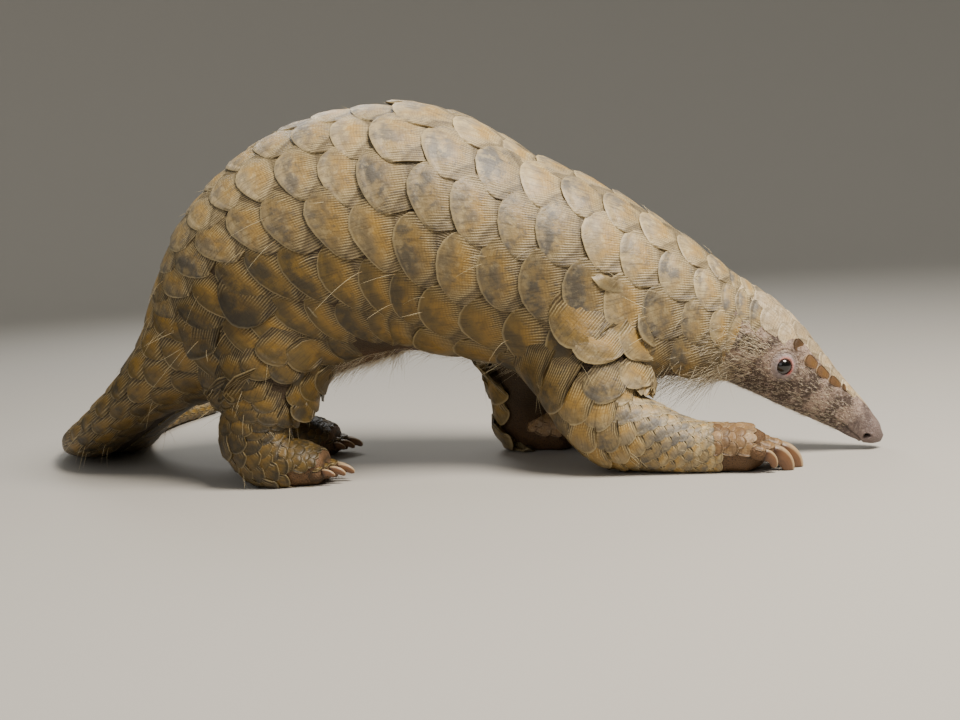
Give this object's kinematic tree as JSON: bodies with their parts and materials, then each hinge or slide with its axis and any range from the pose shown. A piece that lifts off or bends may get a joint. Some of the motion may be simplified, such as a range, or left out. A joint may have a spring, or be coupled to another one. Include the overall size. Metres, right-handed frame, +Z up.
{
  "type": "pangolin",
  "caption": "Life-size still model of a walking pangolin with overlapping scales, long snout, digging claws and a broad scaled tail.",
  "frame": {"origin": "on the floor under the middle of the whole model's box", "axes": "+X towards the snout, +Y to the animal's left, +Z up"},
  "size_m": [0.6862, 0.4306, 0.2743],
  "materials": {
    "scales": "overlapping horn scales, finely striated, pale brown with an ochre middle",
    "skin": "bare wrinkled skin, pinkish brown with dark specks and sparse hairs",
    "claw": "worn horn, brown at the root and paler at the tip",
    "eye": "wet, dark and glossy"
  },
  "bodies": {
    "root": {"head": "skin", "neck": "scales", "chest": "scales", "torso": "scales", "rump": "scales", "tail_base": "scales", "tail_middle": "scales", "tail_end": "scales", "tail_tip": "scales", "foreleg_right": "scales", "forearm_right": "scales", "forepaw_right": "scales", "foreleg_left": "scales", "forearm_left": "scales", "forepaw_left": "scales", "hindleg_right": "scales", "shank_right": "scales", "hindfoot_right": "scales", "hindleg_left": "scales", "shank_left": "scales", "hindfoot_left": "scales", "ear_right": "skin", "ear_left": "skin", "eye_right": "eye", "eye_left": "eye", "claw_right_fore_1": "claw", "claw_right_fore_2": "claw", "claw_right_fore_3": "claw", "claw_right_fore_4": "claw", "claw_right_fore_5": "claw", "claw_left_fore_1": "claw", "claw_left_fore_2": "claw", "claw_left_fore_3": "claw", "claw_left_fore_4": "claw", "claw_left_fore_5": "claw", "claw_right_hind_1": "claw", "claw_right_hind_2": "claw", "claw_right_hind_3": "claw", "claw_right_hind_4": "claw", "claw_right_hind_5": "claw", "claw_left_hind_1": "claw", "claw_left_hind_2": "claw", "claw_left_hind_3": "claw", "claw_left_hind_4": "claw", "claw_left_hind_5": "claw"}
  },
  "joints": []
}
